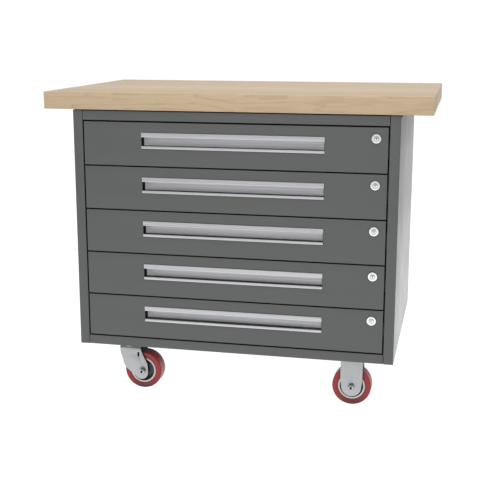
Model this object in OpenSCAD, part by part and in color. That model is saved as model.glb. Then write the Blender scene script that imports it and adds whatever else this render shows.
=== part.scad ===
// Rolling steel drawer cabinet with a thick wooden worktop.
// Millimetres. X runs left to right, the front faces -Y, Z is up.
// The origin is on the floor, under the middle of the worktop.

/* [Worktop] */
// Width of the worktop, left to right
top_w = 1219; // [1160:1:1400]
// Depth of the worktop, front to back
top_d = 762; // [762:1:800]
// Thickness of the worktop
top_t = 54; // [40:1:80]

/* [Cabinet] */
// Width of the steel cabinet
cab_w = 1029; // [1000:1:1060]
// Depth of the steel cabinet
cab_d = 754; // [750:1:758]
// Height of the steel cabinet, without casters
cab_h = 772; // [740:1:820]
// Height of the underside of the cabinet above the floor
lift = 162; // [160:1:180]
// Thickness of the cabinet's steel sheet
sheet = 2; // [1.5:0.5:2]
// Width of the front flange of each side panel
flange_w = 31.5; // [28:0.5:34]
// Height of the front rail above the drawers
top_rail_h = 33.5; // [30:0.5:40]
// Height of the front rail below the drawers
bottom_rail_h = 30.5; // [28:0.5:40]

/* [Drawers] */
// Number of drawers
drawers = 5; // [5]
// Gap round every drawer front
gap = 4; // [3:0.5:5]
// Travel of a drawer
travel = 650; // [500:10:650]
// Depth of the folded drawer front
front_d = 34; // [32:1:36]
// Thickness of the drawer's steel sheet
thin = 1.5; // [1:0.5:1.5]

/* [Pulls and locks] */
// Width of the recessed pull
pull_w = 578; // [400:2:640]
// Height of the recessed pull
pull_h = 50; // [46:1:54]
// Depth of the recess behind the drawer front
pull_d = 28; // [24:1:30]
// Distance from the top of a drawer front down to its pull
pull_drop = 32; // [28:1:36]
// Distance of each lock from the middle of the cabinet
lock_x = 443.5; // [440:0.5:446]
// Distance from the top of a drawer front down to its lock
lock_drop = 33; // [28:1:40]

/* [Casters] */
// Outer radius of the tread
wheel_r = 62.5; // [60:0.5:62.5]
// Width of the tread
wheel_w = 50; // [45:1:50]
// Inner radius of the tread
tread_in_r = 43.7; // [42:0.1:45]
// Radius of the axle bolts
axle_r = 6; // [5:0.5:6]
// Distance of each wheel's middle from the cabinet's front or back
caster_in = 81; // [80:1:100]
// Place of the swivel casters' pivots, from the middle
swivel_x = -365; // [-380:1:-350]
// Distance from a swivel caster's pivot to its axle
trail = 47; // [40:1:50]
// Place of the rigid casters, from the middle
rigid_x = 381; // [360:1:400]

/* [Hidden] */
$fn = 48;
cut = 1;                                  // how far a cutter runs past the face it cuts
row = [1 : drawers];
ends = ["front", "rear"];
sides = [-1, 1];

front_y = -cab_d / 2;
back_y = cab_d / 2;
floor_z = lift;
roof_z = lift + cab_h;
half_w = cab_w / 2;
opening_x = half_w - flange_w;            // half width of the drawer opening
return_d = 15;                            // return fold behind each front flange
rear_flange = 20;
pan_t = 3;                                // base pan sheet
seam = 1;                                 // groove where the rails meet the side panels
rail_x = opening_x - seam;                // half width of the front rails
roof_flange = 40;

front_w = 2 * (opening_x - gap);
front_h = (cab_h - top_rail_h - bottom_rail_h - (drawers + 1) * gap) / drawers;
pitch = front_h + gap;
lip = 15;                                 // rear lips of the folded drawer front
box_w = 934;
box_h = 110;
box_lift = 10;                            // drawer box floor above the bottom of its front
box_back_y = back_y - 54;
hem = 8;                                  // fold along the top of the drawer box's walls
weld_gap = 0.1;                           // room left between fixed pieces that meet

slide_t = 12.7;                           // thickness of a drawer slide
slide_len = 660;
slide_y = front_y + front_d + 4;
slide_z = box_lift + box_h / 2;           // middle of the slide above the bottom of a front
slide_x = box_w / 2 + slide_t;            // outer face of the fixed rails
post_w = 60;
post_web = 36;
post_ys = [front_y + 87, back_y - 107];

pull_proud = 2;
pull_t = 2;
pull_flange = 14;
pull_lip = 8;
cap_t = 1;

lock_face_r = 14.5;
washer_r = 15.5;                          // washer under the lock's face
washer_t = 0.8;
lock_body_r = 9.5;
lock_plug_r = 7.5;
lock_len = 22;                            // barrel length behind the drawer face
running = 0.06;                           // radial clearance of turning parts
cam_reach = 34.6;

plate_x = 114;
plate_y = 101;
plate_t = 4;
bolt_dx = 46;
bolt_dy = 38;
bolt_r = 4;
fork_gap = 29;                            // from the wheel's middle to a leg's inner face
fork_t = 3;
race_r = 33;
race_h = 11;
bridge_z = lift - 17;                     // top of a swivel fork's bridge
rim_r = 37;
hub_r = 15;
hub_half = 28.5;

screw_xs = [-420, -150, 150, 420];
screw_ys = [front_y + 24, back_y - 30];

paint = [0.40, 0.41, 0.40];
maple = [0.84, 0.75, 0.64];
zinc = [0.76, 0.76, 0.76];
bright = [0.82, 0.82, 0.82];
tread_red = [0.67, 0.27, 0.27];

// Height of the bottom of drawer front i, counted from the top drawer
function front_z(i) = roof_z - top_rail_h - i * pitch;
// Y of the wheels at one end: -1 is the front, +1 the rear
function wheel_y(s) = s * (cab_d / 2 - caster_in);
// -1 for the name "front", +1 for "rear"
function end_sign(e) = e == "front" ? -1 : 1;

// A block between two opposite corners
module block(a, b) {
    translate(a) cube(b - a);
}

// A cylinder along -Y whose front face is at y = 0
module rod_y(r, len) {
    rotate([-90, 0, 0]) cylinder(r = r, h = len);
}

// A hexagonal bolt head or nut, standing on z = 0
module hexagon(across, h) {
    cylinder(d = across / cos(30), h = h, $fn = 6);
}

/* ---------- worktop ---------- */

module worktop() {
    color(maple) difference() {
        block([-top_w / 2, -top_d / 2, roof_z], [top_w / 2, top_d / 2, roof_z + top_t]);
        for (x = screw_xs, y = screw_ys)
            translate([x, y, roof_z - cut]) cylinder(r = 2.5, h = 31 + cut);
    }
}

module worktop_screws() {
    color(zinc) for (x = screw_xs, y = screw_ys) translate([x, y, roof_z]) {
        translate([0, 0, -sheet - 4]) hexagon(11, 4);
        translate([0, 0, -sheet - cut]) cylinder(r = 2.4, h = 29 + sheet + cut);
    }
}

/* ---------- cabinet shell ---------- */

// Plan of the right side panel: web, front flange with its return, rear flange
module side_plan() {
    in_x = half_w - sheet;
    translate([in_x, front_y]) square([sheet, cab_d]);
    translate([opening_x, front_y]) square([flange_w, sheet]);
    translate([opening_x, front_y]) square([sheet, sheet + return_d]);
    translate([half_w - rear_flange, back_y - sheet]) square([rear_flange, sheet]);
}

module side_panel(s) {
    color(paint) mirror([s < 0 ? 1 : 0, 0, 0])
        translate([0, 0, floor_z]) linear_extrude(cab_h) side_plan();
}

module back_panel() {
    inner_x = half_w - sheet - 0.2;
    color(paint) block([-inner_x, back_y - 2 * sheet, floor_z], [inner_x, back_y - sheet, roof_z]);
}

// Centres of the four bolts of one caster, then of every caster
function plate_bolts(x, y) = [for (a = sides, b = sides) [x + a * bolt_dx, y + b * bolt_dy]];
caster_xs = [swivel_x, rigid_x];
all_bolts = [for (x = caster_xs, s = sides) each plate_bolts(x, wheel_y(s))];

module base_pan() {
    inner_x = half_w - sheet - 0.2;
    notch_y = front_y + sheet + return_d + 0.4;
    rear_y = back_y - 2 * sheet;
    color(paint) difference() {
        union() {
            block([-rail_x, front_y, floor_z], [rail_x, notch_y + 1, floor_z + pan_t]);
            block([-inner_x, notch_y, floor_z], [inner_x, rear_y, floor_z + pan_t]);
            block([-rail_x, front_y, floor_z], [rail_x, front_y + sheet, floor_z + bottom_rail_h]);
            block([-rail_x, front_y, floor_z + bottom_rail_h - sheet],
                  [rail_x, front_y + return_d, floor_z + bottom_rail_h]);
            block([-inner_x, rear_y - sheet, floor_z], [inner_x, rear_y, floor_z + 25]);
        }
        for (p = all_bolts)
            translate([p[0], p[1], floor_z - cut]) cylinder(r = bolt_r + 0.5, h = pan_t + 2 * cut);
    }
}

module top_rails() {
    inner_x = half_w - sheet - 0.2;
    rear_y = back_y - 2 * sheet;
    low = roof_z - top_rail_h;
    color(paint) difference() {
        union() {
            block([-rail_x, front_y, low], [rail_x, front_y + sheet, roof_z]);
            block([-rail_x, front_y, low], [rail_x, front_y + return_d, low + sheet]);
            block([-rail_x, front_y, roof_z - sheet], [rail_x, front_y + roof_flange, roof_z]);
            block([-inner_x, rear_y - sheet, low], [inner_x, rear_y, roof_z]);
            block([-inner_x, rear_y - roof_flange, roof_z - sheet], [inner_x, rear_y, roof_z]);
        }
        for (x = screw_xs, y = screw_ys)
            translate([x, y, roof_z - sheet - cut]) cylinder(r = 3, h = sheet + 2 * cut);
    }
}

/* ---------- drawer slides ---------- */

// Plan of one hat-shaped post on the right: crown at the rails, feet on the side panel
module post_plan() {
    wall_x = half_w - sheet;
    translate([slide_x, -post_web / 2]) square([sheet, post_web]);
    for (s = sides) mirror([0, s < 0 ? 1 : 0]) {
        translate([slide_x, post_web / 2 - sheet]) square([wall_x - slide_x, sheet]);
        translate([wall_x - sheet, post_web / 2 - sheet])
            square([sheet, (post_w - post_web) / 2 + sheet]);
    }
}

module slide_posts() {
    foot_z = floor_z + pan_t;
    color(zinc) for (s = sides, y = post_ys)
        mirror([s < 0 ? 1 : 0, 0, 0])
            translate([0, y, foot_z]) linear_extrude(roof_z - foot_z - 8) post_plan();
}

// A channel of the right-hand slide, drawn in X and Z and run along Y. u counts inward from
// the fixed rail's outer face, and the channel opens towards the side its flanges reach.
module channel(web_u, tip_u, half_h, wall, len) {
    low_u = min(web_u, tip_u);
    high_u = max(web_u, tip_u);
    back_u = web_u < tip_u ? web_u : web_u - wall;
    translate([slide_x, slide_y + len, 0]) rotate([90, 0, 0]) linear_extrude(len) {
        translate([-back_u - wall, -half_h]) square([wall, 2 * half_h]);
        for (v = [-half_h, half_h - wall])
            translate([-high_u, v]) square([high_u - low_u, wall]);
    }
}

module slide_pair(i, web_u, tip_u, half_h, wall) {
    translate([0, 0, front_z(i) + slide_z]) for (s = sides)
        mirror([s < 0 ? 1 : 0, 0, 0]) channel(web_u, tip_u, half_h, wall, slide_len);
}

module slide_rails() {
    color(zinc) for (i = row) slide_pair(i, 0, 10, 23, 1.4);
}

module middle_slides(i) {
    color(zinc) slide_pair(i, 2.6, 11.2, 20.6, 1.2);
}

module drawer_runners(i) {
    color(zinc) slide_pair(i, slide_t, 5, 18.2, 1.4);
}

/* ---------- drawers ---------- */

module pull_slot(i) {
    top = front_z(i) + front_h - pull_drop;
    block([-pull_w / 2, front_y - cut, top - pull_h + 1], [pull_w / 2, front_y + 3, top - 1]);
}

module drawer_front(i) {
    w = front_w / 2;
    y1 = front_y + front_d;
    z0 = front_z(i);
    z1 = z0 + front_h;
    lock_z = z1 - lock_drop;
    color(paint) difference() {
        block([-w, front_y, z0], [w, y1, z1]);
        block([-w + thin, front_y + thin, z0 + thin], [w - thin, y1 - thin, z1 - thin]);
        block([-w + lip, front_y + thin, z0 + lip], [w - lip, y1 + cut, z1 - lip]);
        pull_slot(i);
        translate([lock_x, front_y - cut, lock_z]) rod_y(lock_body_r + 0.1, thin + 2 * cut);
        // slot for the lock's cam in the right-hand fold
        block([w - thin - cut, front_y + 19, lock_z - 8], [w + cut, front_y + 28, lock_z + 8]);
    }
}

// Bottom, two sides and two ends, welded together; each wall folds inward along its top
module drawer_box(i) {
    w = box_w / 2;
    y0 = front_y + front_d;
    y1 = box_back_y;
    z0 = front_z(i) + box_lift;
    z1 = z0 + box_h;
    wall_z = z0 + thin + weld_gap;
    color(paint) {
        block([-w, y0, z0], [w, y1, z0 + thin]);
        for (s = [0, 1]) mirror([s, 0, 0]) {
            block([w - thin, y0, wall_z], [w, y1, z1]);
            block([w - hem, y0 + thin + weld_gap, z1 - thin], [w, y1 - thin - weld_gap, z1]);
        }
        translate([0, (y0 + y1) / 2, 0]) for (s = [0, 1]) mirror([0, s, 0]) {
            end_y = (y1 - y0) / 2;
            in_w = w - thin - weld_gap;
            hem_w = w - hem - weld_gap;
            block([-in_w, end_y - thin, wall_z], [in_w, end_y, z1]);
            block([-hem_w, end_y - hem, z1 - thin], [hem_w, end_y, z1]);
        }
    }
}

// Strips of the pull, as opposite corners in Y and Z; z = 0 is its top edge and y = 0 the drawer face
// The grip and the lip lie on the drawer face, and the other three form the recess
pull_edges = [
    [[-pull_proud, -pull_flange], [0, 0]],
    [[-pull_proud, -pull_h], [0, -pull_h + pull_lip]]
];
pull_walls = [
    [[weld_gap, -1 - pull_t], [pull_d, -1]],
    [[pull_d - pull_t, -pull_h + 1 + pull_t + weld_gap], [pull_d, -1 - pull_t - weld_gap]],
    [[weld_gap, -pull_h + 1], [pull_d, -pull_h + 1 + pull_t]]
];

module pull_strip(p, half) {
    block([-half, p[0][0], p[0][1]], [half, p[1][0], p[1][1]]);
}

module pull(i) {
    translate([0, front_y, front_z(i) + front_h - pull_drop]) {
        color(bright) for (p = pull_edges) pull_strip(p, pull_w / 2);
        color(bright) for (p = pull_walls) pull_strip(p, pull_w / 2 - cap_t - weld_gap);
        color("black") for (x = [-pull_w / 2, pull_w / 2 - cap_t])
            block([x, weld_gap, -pull_h + 1], [x + cap_t, pull_d, -1]);
    }
}

module at_lock(i) {
    translate([lock_x, front_y, front_z(i) + front_h - lock_drop]) children();
}

module lock_barrel(i) {
    color(bright) at_lock(i) difference() {
        union() {
            translate([0, -3, 0]) rod_y(lock_face_r, 3);
            translate([0, -washer_t, 0]) rod_y(washer_r, washer_t);
            rod_y(lock_body_r, lock_len);
            translate([0, thin + 5, 0]) rotate([90, 0, 0]) hexagon(26, 5);
        }
        translate([0, -3 - cut, 0]) rod_y(lock_plug_r + running, lock_len + 3 + 2 * cut);
    }
}

module lock_plug(i) {
    cam_y = lock_len + 0.5;
    color(zinc) at_lock(i) difference() {
        union() {
            translate([0, -3.4, 0]) rod_y(lock_plug_r, cam_y + 3.4);
            translate([0, cam_y, 0]) rod_y(lock_plug_r, 2);
            block([-6, cam_y, -cam_reach], [6, cam_y + 2, 0]);
        }
        // keyway
        block([-0.7, -4.4, -3.8], [0.7, 8, 3.8]);
    }
}

/* ---------- casters ---------- */

// The plate of a caster, under the base pan
module caster_plate(x, y) {
    difference() {
        block([x - plate_x / 2, y - plate_y / 2, lift - plate_t], [x + plate_x / 2, y + plate_y / 2, lift]);
        for (p = plate_bolts(x, y))
            translate([p[0], p[1], lift - plate_t - cut]) cylinder(r = bolt_r + 0.5, h = plate_t + 2 * cut);
    }
}

module caster_bolts() {
    nut_z = lift - plate_t - 6.5;
    color(zinc) for (p = all_bolts) translate([p[0], p[1], 0]) {
        translate([0, 0, floor_z + pan_t]) hexagon(13, 5.3);
        translate([0, 0, nut_z - 2]) cylinder(r = bolt_r, h = floor_z + pan_t - nut_z + 2);
        translate([0, 0, nut_z]) hexagon(13, 6.5);
    }
}

// An inverted U that runs along X: a bridge at the top and a leg each side of the wheel
module yoke(top_z, x0, x1) {
    half = fork_gap + fork_t;
    bend = 8;
    translate([x0, 0, 0]) rotate([90, 0, 90]) linear_extrude(x1 - x0) difference() {
        union() {
            translate([-half, 0]) square([2 * half, top_z - bend]);
            translate([-half + bend, 0]) square([2 * (half - bend), top_z]);
            for (s = sides) translate([s * (half - bend), top_z - bend]) circle(bend);
        }
        translate([-fork_gap, -cut]) square([2 * fork_gap, top_z - fork_t - 5 + cut]);
        translate([-fork_gap + 5, -cut]) square([2 * (fork_gap - 5), top_z - fork_t + cut]);
        for (s = sides) translate([s * (fork_gap - 5), top_z - fork_t - 5]) circle(5);
    }
}

// Side view of a rigid fork's leg; the axle is at [0, wheel_r]
module rigid_outline() {
    translate([0, wheel_r]) circle(32);
    polygon([[-35, lift], [-35, wheel_r + 28], [-31.8, wheel_r + 4],
             [31.8, wheel_r + 4], [35, wheel_r + 28], [35, lift]]);
}

// Side view of a swivel fork's leg; the axle is at [0, wheel_r] and the pivot a trail behind it
module swivel_outline() {
    translate([-5, wheel_r - 7]) circle(23);
    polygon([[-trail - 31, lift], [-trail - 30, wheel_r + 64], [-trail - 24, wheel_r + 44],
             [-59.5, wheel_r + 11], [-22, wheel_r - 22.6], [17.8, wheel_r - 7], [16.5, wheel_r + 22],
             [5, wheel_r + 47], [-5, wheel_r + 70], [-trail + 31, lift]]);
}

// Runs a side view through the whole width of a fork
module through_fork() {
    rotate([90, 0, 0]) linear_extrude(100, center = true) children();
}

module axle_hole(x) {
    translate([x, -50, wheel_r]) rod_y(axle_r, 100);
}

module rigid_forks() {
    color(zinc) for (s = sides) {
        caster_plate(rigid_x, wheel_y(s));
        translate([rigid_x, wheel_y(s), 0]) difference() {
            intersection() {
                yoke(lift - plate_t, -35, 35);
                through_fork() rigid_outline();
            }
            axle_hole(0);
        }
    }
}

// Top plate, bearing race and kingpin of each swivel caster
module swivel_plates() {
    color(zinc) for (s = sides) {
        caster_plate(swivel_x, wheel_y(s));
        translate([swivel_x, wheel_y(s), 0]) {
            translate([0, 0, bridge_z + 2]) cylinder(r = race_r, h = race_h);
            translate([0, 0, bridge_z - fork_t - 8]) cylinder(r = axle_r, h = 16);
            translate([0, 0, bridge_z - fork_t - 8]) hexagon(18, 7.6);
        }
    }
}

module swivel_fork(s) {
    color(zinc) translate([swivel_x, wheel_y(s), 0]) difference() {
        union() {
            intersection() {
                yoke(bridge_z, -31, trail + 23);
                translate([trail, 0, 0]) through_fork() swivel_outline();
            }
            translate([0, 0, bridge_z - cut]) cylinder(r = race_r - 3, h = 1.6 + cut);
        }
        axle_hole(trail);
        translate([0, 0, bridge_z - 10]) cylinder(r = axle_r + running, h = 20);
        // slot near the top of each leg
        translate([trail - 14, 0, wheel_r + 56]) cube([7, 100, 15], center = true);
    }
}

// Axle bolt across a fork: head at the far side, nut and thread end at the near side
module axle_bolt(x, s) {
    leg = fork_gap + fork_t;
    translate([x, wheel_y(s), wheel_r]) {
        translate([0, -leg - 14, 0]) rod_y(axle_r - 0.02, 2 * leg + 14);
        translate([0, leg + 8, 0]) rotate([90, 0, 0]) hexagon(19, 8);
        translate([0, -leg, 0]) rotate([90, 0, 0]) hexagon(19, 10);
    }
}

module rigid_axles() {
    color(zinc) for (s = sides) axle_bolt(rigid_x, s);
}

module swivel_axle(s) {
    color(zinc) axle_bolt(swivel_x + trail, s);
}

// Half of the core's section: radius along X, distance from the wheel's middle along Y
module core_section() {
    bore = axle_r + running;
    polygon([[bore, -hub_half], [hub_r, -hub_half], [hub_r, -5], [rim_r, -5],
             [rim_r, -wheel_w / 2 + 1], [tread_in_r, -wheel_w / 2 + 1],
             [tread_in_r, wheel_w / 2 - 1], [rim_r, wheel_w / 2 - 1], [rim_r, 5],
             [hub_r, 5], [hub_r, hub_half], [bore, hub_half]]);
}

module tread_section() {
    half = wheel_w / 2;
    edge = 4;
    in_r = tread_in_r + 0.02;
    translate([in_r, -half]) square([wheel_r - edge - in_r, wheel_w]);
    translate([in_r, -half + edge]) square([wheel_r - in_r, wheel_w - 2 * edge]);
    for (s = sides) translate([wheel_r - edge, s * (half - edge)]) circle(edge);
}

module at_wheel(x, s) {
    translate([x, wheel_y(s), wheel_r]) rotate([90, 0, 0]) children();
}

module wheel_core(x, s) {
    color(bright) at_wheel(x, s) rotate_extrude($fn = 96) core_section();
}

module wheel_tread(x, s) {
    color(tread_red) at_wheel(x, s) rotate_extrude($fn = 96) tread_section();
}

/* ---------- the nodes ---------- */

worktop();
side_panel(-1);  // left_side
side_panel(1);  // right_side
back_panel();
base_pan();
top_rails();
slide_posts();
slide_rails();
worktop_screws();
caster_bolts();
swivel_plates();
rigid_forks();
rigid_axles();
for (e = ends) {
    swivel_fork(end_sign(e));
    swivel_axle(end_sign(e));
    wheel_core(swivel_x + trail, end_sign(e));
    wheel_tread(swivel_x + trail, end_sign(e));
    wheel_core(rigid_x, end_sign(e));
    wheel_tread(rigid_x, end_sign(e));
}
for (i = row) {
    drawer_front(i);
    drawer_box(i);
    pull(i);
    lock_barrel(i);
    lock_plug(i);
    drawer_runners(i);
    middle_slides(i);
}
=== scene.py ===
"""Rolling workbench: five steel drawers under a maple worktop, on two swivel and two rigid casters."""

import math

import bmesh
import bpy
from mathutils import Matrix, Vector


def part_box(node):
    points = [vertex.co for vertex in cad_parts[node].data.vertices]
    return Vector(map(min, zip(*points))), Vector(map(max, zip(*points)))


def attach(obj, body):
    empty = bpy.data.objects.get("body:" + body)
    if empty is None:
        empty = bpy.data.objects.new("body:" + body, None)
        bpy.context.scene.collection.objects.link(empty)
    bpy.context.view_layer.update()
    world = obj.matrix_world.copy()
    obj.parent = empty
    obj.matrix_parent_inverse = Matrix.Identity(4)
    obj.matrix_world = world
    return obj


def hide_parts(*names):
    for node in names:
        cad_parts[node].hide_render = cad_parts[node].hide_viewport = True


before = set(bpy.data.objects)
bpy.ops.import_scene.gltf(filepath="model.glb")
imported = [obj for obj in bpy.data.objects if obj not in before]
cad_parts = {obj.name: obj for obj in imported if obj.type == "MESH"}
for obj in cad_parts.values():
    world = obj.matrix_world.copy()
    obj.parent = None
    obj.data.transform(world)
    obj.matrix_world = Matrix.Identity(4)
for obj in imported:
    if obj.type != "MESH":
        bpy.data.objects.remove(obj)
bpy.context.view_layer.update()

MM = 0.001
X = Vector((1, 0, 0))
Y = Vector((0, 1, 0))
Z = Vector((0, 0, 1))
ROWS = range(1, 6)
ENDS = ("front", "rear")
SHARP = 38                # degrees; an edge is rounded where its faces turn by more than this


# ---------- camera, light and floor ----------

CAMERA_PLACE = (0.6991, -3.3260, 1.1847)
CAMERA_TURN = 12.676      # degrees to the left of straight on
CAMERA_TILT = 12.246      # degrees down
CAMERA_LENS = 73.40
SENSOR_WIDTH = 36.0
VIEW_DEPTH = 60           # metres
FLOOR_SIZE = 24
ROOM_LIGHT = 0.46         # what the white room adds to every surface
ROOM_FRONT = 0.50         # how bright the room looks in reflections, towards the camera
ROOM_BACK = 0.90          # and behind the bench
PLAIN_WHITE = 1.02        # how bright it looks to the camera
PANEL_LIGHTS = {          # place, aim, size and power
    "overhead_light": ((0.3, -0.6, 3.4), (0, 0, 0.9), (3.0, 2.2), 30),
    "front_light": ((0, -3.7, 1.3), (0, 0, 0.4), (2.4, 1.2), 40),
    "rear_light": ((0, 3.7, 1.3), (0, 0, 0.5), (2.4, 1.2), 24),
}


def add_camera():
    bpy.ops.object.camera_add(location=CAMERA_PLACE)
    camera = bpy.context.object
    camera.name = "camera"
    camera.rotation_euler = (math.radians(90 - CAMERA_TILT), 0, math.radians(CAMERA_TURN))
    camera.data.lens = CAMERA_LENS
    camera.data.sensor_width = SENSOR_WIDTH
    camera.data.sensor_fit = "HORIZONTAL"
    camera.data.clip_end = VIEW_DEPTH
    bpy.context.scene.camera = camera


def add_panel_light(name, place, aim, size, power):
    """A soft light that does not show in reflections."""
    bpy.ops.object.light_add(type="AREA", location=place)
    light = bpy.context.object
    light.name = name
    light.data.shape = "RECTANGLE"
    light.data.size, light.data.size_y = size
    light.data.energy = power
    light.rotation_euler = (Vector(aim) - Vector(place)).to_track_quat("-Z", "Y").to_euler()
    light.visible_glossy = False


def light_the_studio():
    world = bpy.data.worlds.new("studio")
    bpy.context.scene.world = world
    world.use_nodes = True
    w = Wiring(world.node_tree)
    rays = w.add("LightPath").outputs
    heading = w.add("SeparateXYZ", {0: w.add("TexCoord").outputs["Generated"]}).outputs["Y"]
    mirrored = w.span(heading, -1.0, 1.0, ROOM_FRONT, ROOM_BACK)
    strength = w.swap(rays["Is Glossy Ray"], ROOM_LIGHT, mirrored)
    strength = w.swap(rays["Is Camera Ray"], strength, PLAIN_WHITE)
    background = world.node_tree.nodes["Background"]
    world.node_tree.links.new(strength, background.inputs["Strength"])
    background.inputs["Color"].default_value = (1, 1, 1, 1)
    bpy.context.scene.view_settings.view_transform = "Standard"
    for name, setup in PANEL_LIGHTS.items():
        add_panel_light(name, *setup)


def add_floor(material):
    bpy.ops.mesh.primitive_plane_add(size=FLOOR_SIZE)
    floor = bpy.context.object
    floor.name = "floor"
    floor.data.materials.append(material)


# ---------- ways of modelling ----------

def focus(piece):
    """Selects one object and nothing else."""
    if bpy.context.object and bpy.context.object.mode != "OBJECT":
        bpy.ops.object.mode_set(mode="OBJECT")
    bpy.ops.object.select_all(action="DESELECT")
    piece.select_set(True)
    bpy.context.view_layer.objects.active = piece


def open_mesh(piece, kind="FACE"):
    focus(piece)
    bpy.ops.object.mode_set(mode="EDIT")
    bpy.ops.mesh.select_mode(type=kind)
    bpy.ops.mesh.select_all(action="DESELECT")


def close_mesh():
    bpy.ops.object.mode_set(mode="OBJECT")


def middle(thing):
    return sum((v.co for v in thing.verts), Vector()) / len(thing.verts)


def pick(piece, test, kind="FACE"):
    """Selects the faces, edges or corners of the open mesh that pass the test."""
    mesh = bmesh.from_edit_mesh(piece.data)
    for thing in {"FACE": mesh.faces, "EDGE": mesh.edges, "VERT": mesh.verts}[kind]:
        thing.select_set(bool(test(thing)))
    mesh.select_flush_mode()
    bmesh.update_edit_mesh(piece.data)


def new_piece(name):
    """The primitive just added, with its place in its mesh."""
    piece = bpy.context.object
    piece.name = name
    piece.data.name = name
    focus(piece)
    bpy.ops.object.transform_apply(location=True, rotation=True, scale=True)
    return piece


def spot(home, x, y, z):
    """A point that many millimetres away from a home point."""
    return Vector(home) + Vector((x, y, z)) * MM


def chain(name, points, closed=False):
    """A line of edges through the points."""
    bpy.ops.mesh.primitive_plane_add(size=2 * MM)
    piece = new_piece(name)
    open_mesh(piece, "VERT")
    bpy.ops.mesh.select_all(action="SELECT")
    bpy.ops.mesh.merge(type="CENTER")
    bpy.ops.transform.translate(value=points[0])
    for a, b in zip(points, points[1:]):
        bpy.ops.mesh.extrude_vertices_move(TRANSFORM_OT_translate={"value": Vector(b) - Vector(a)})
    if closed:
        pick(piece, lambda v: len(v.link_edges) < 2, "VERT")
        bpy.ops.mesh.edge_face_add()
    close_mesh()
    return piece


def outward(piece):
    """Merges doubles and points every face outwards."""
    open_mesh(piece)
    bpy.ops.mesh.select_all(action="SELECT")
    bpy.ops.mesh.remove_doubles(threshold=0.002 * MM)
    bpy.ops.mesh.normals_make_consistent(inside=False)
    close_mesh()


def modify(piece, kind, **settings):
    """Adds a modifier and applies it."""
    focus(piece)
    modifier = piece.modifiers.new(kind.lower(), kind)
    for key, value in settings.items():
        setattr(modifier, key, value)
    bpy.ops.object.modifier_apply(modifier=modifier.name)


def shade(piece, angle=SHARP):
    focus(piece)
    bpy.ops.object.shade_smooth_by_angle(angle=math.radians(angle))


def soften(piece, width, steps=2, angle=SHARP):
    """Rounds the sharp edges and smooths the shading."""
    modify(piece, "BEVEL", width=width * MM, segments=steps, limit_method="ANGLE",
           angle_limit=math.radians(angle), harden_normals=False)
    shade(piece, angle)


def prism(name, outline, run):
    """A solid with a flat outline, run along a vector."""
    piece = chain(name, outline, closed=True)
    open_mesh(piece, "EDGE")
    bpy.ops.mesh.select_all(action="SELECT")
    bpy.ops.mesh.edge_face_add()
    bpy.ops.mesh.extrude_region_move(TRANSFORM_OT_translate={"value": run})
    close_mesh()
    outward(piece)
    return piece


def turned(name, section, centre, axis, steps=64):
    """A solid turned on a lathe; the section is pairs of radius and distance along the axis."""
    axis = Vector(axis)
    across = X if abs(axis.x) < 0.5 else Y
    points = [Vector(centre) + across * radius * MM + axis * along * MM for radius, along in section]
    piece = chain(name, points, closed=True)
    open_mesh(piece, "EDGE")
    bpy.ops.mesh.select_all(action="SELECT")
    bpy.ops.mesh.spin(steps=steps, angle=2 * math.pi, center=centre, axis=axis)
    close_mesh()
    outward(piece)
    return piece


def folded(name, path, run, face, thickness, radius=2.5, steps=4):
    """Sheet metal folded along a path and run along a vector. The path is the outer surface, and
    face is the way the first fold's outer side looks."""
    piece = chain(name, path)
    open_mesh(piece, "EDGE")
    bpy.ops.mesh.select_all(action="SELECT")
    bpy.ops.mesh.extrude_region_move(TRANSFORM_OT_translate={"value": run})
    bpy.ops.mesh.select_all(action="SELECT")
    bpy.ops.mesh.normals_make_consistent(inside=False)
    first = (Vector(path[0]) + Vector(path[1]) + Vector(run)) / 2
    mesh = bmesh.from_edit_mesh(piece.data)
    nearest = min(mesh.faces, key=lambda f: (middle(f) - first).length)
    if nearest.normal.dot(Vector(face)) < 0:
        bpy.ops.mesh.flip_normals()
    pick(piece, lambda e: len(e.link_faces) == 2, "EDGE")
    bpy.ops.mesh.bevel(offset=radius * MM, segments=steps, affect="EDGES")
    close_mesh()
    modify(piece, "SOLIDIFY", thickness=thickness * MM, offset=-1, use_even_offset=True)
    soften(piece, 0.25)
    return piece


def block(name, low, high, edge, steps=3):
    """A box with rounded edges."""
    low, high = Vector(low), Vector(high)
    bpy.ops.mesh.primitive_cube_add(size=1, location=(low + high) / 2)
    bpy.context.object.scale = high - low
    piece = new_piece(name)
    soften(piece, edge, steps)
    return piece


def cut_with(piece, cutter, operation="DIFFERENCE"):
    """Cuts one solid with another, which is used up."""
    modify(piece, "BOOLEAN", object=cutter, operation=operation, solver="EXACT")
    bpy.data.objects.remove(cutter)


def copy_of(piece, name, shift):
    """A copy with its own mesh, moved by a shift."""
    focus(piece)
    bpy.ops.object.duplicate()
    twin = bpy.context.object
    twin.name = name
    twin.data.name = name
    bpy.ops.transform.translate(value=shift)
    bpy.ops.object.transform_apply(location=True, rotation=True, scale=True)
    return twin


def mirror_of(piece, name, axis):
    """A copy mirrored through the middle of the bench."""
    twin = copy_of(piece, name, (0, 0, 0))
    twin.scale = [-1 if i == axis else 1 for i in range(3)]
    focus(twin)
    bpy.ops.object.transform_apply(location=True, rotation=True, scale=True)
    outward(twin)
    shade(twin)
    return twin


def weld(name, *pieces):
    """Joins pieces into one object."""
    focus(pieces[0])
    for piece in pieces[1:]:
        piece.select_set(True)
    bpy.ops.object.join()
    bpy.context.object.name = name
    bpy.context.object.data.name = name
    return bpy.context.object


def clear_away(masters):
    """Removes the pieces that copies were made of."""
    for master in masters:
        bpy.data.objects.remove(master)


def fit(piece, body, material, node):
    """Gives a piece its finish and its body, and hides the CAD node it stands for."""
    piece.data.materials.clear()
    piece.data.materials.append(material)
    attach(piece, body)
    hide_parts(node)


# ---------- ways of finishing ----------

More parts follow.
